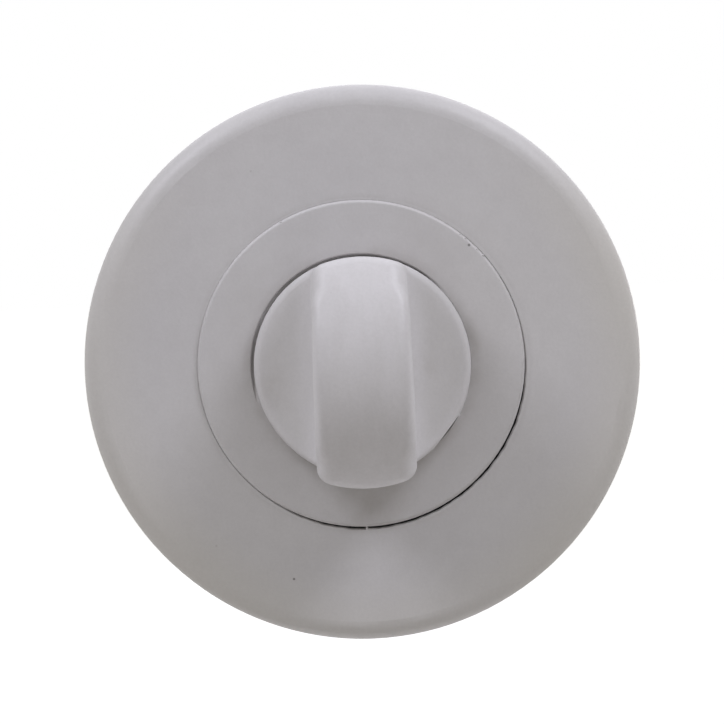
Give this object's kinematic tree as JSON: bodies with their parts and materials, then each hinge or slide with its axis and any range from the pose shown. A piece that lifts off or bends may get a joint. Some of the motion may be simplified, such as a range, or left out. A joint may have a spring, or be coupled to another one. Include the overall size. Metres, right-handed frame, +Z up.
{
  "type": "bathroom thumb turn lock",
  "caption": "Bathroom thumb turn: a scooped, crowned knob set in a disc on a round rose, with bush, spring washer, square spindle and hidden fixing screws; makes a quarter turn to lock.",
  "frame": {"origin": "on the spindle's axis, in the plane of the door face that the base plate lies on", "axes": "+Y points into the door along the spindle and away from the knob, +Z is up on the door, so +X is to the right as the turn is seen from the room"},
  "size_m": [0.052, 0.0767, 0.0519],
  "materials": {
    "satin_paint": "satin",
    "bush_plastic": "matte",
    "base_plastic": "matte",
    "spring_steel": "satin",
    "plated_steel": "satin"
  },
  "bodies": {
    "rose": {"rose_cover": "satin_paint", "centre_disc": "satin_paint", "bearing_bush": "bush_plastic", "wave_washer": "spring_steel", "base_plate": "base_plastic", "fixing_screws": "plated_steel", "disc_screws": "plated_steel"},
    "turn": {"turn_knob": "satin_paint", "thrust_washer": "plated_steel", "retaining_ring": "spring_steel", "spindle": "plated_steel", "spindle_grub_screw": "spring_steel"}
  },
  "joints": [
    {"name": "turn", "type": "hinge", "parent": "rose", "child": "turn", "pos_m": [0, 0, 0], "axis": [0, 1, 0], "range_deg": [0, 90]}
  ]
}
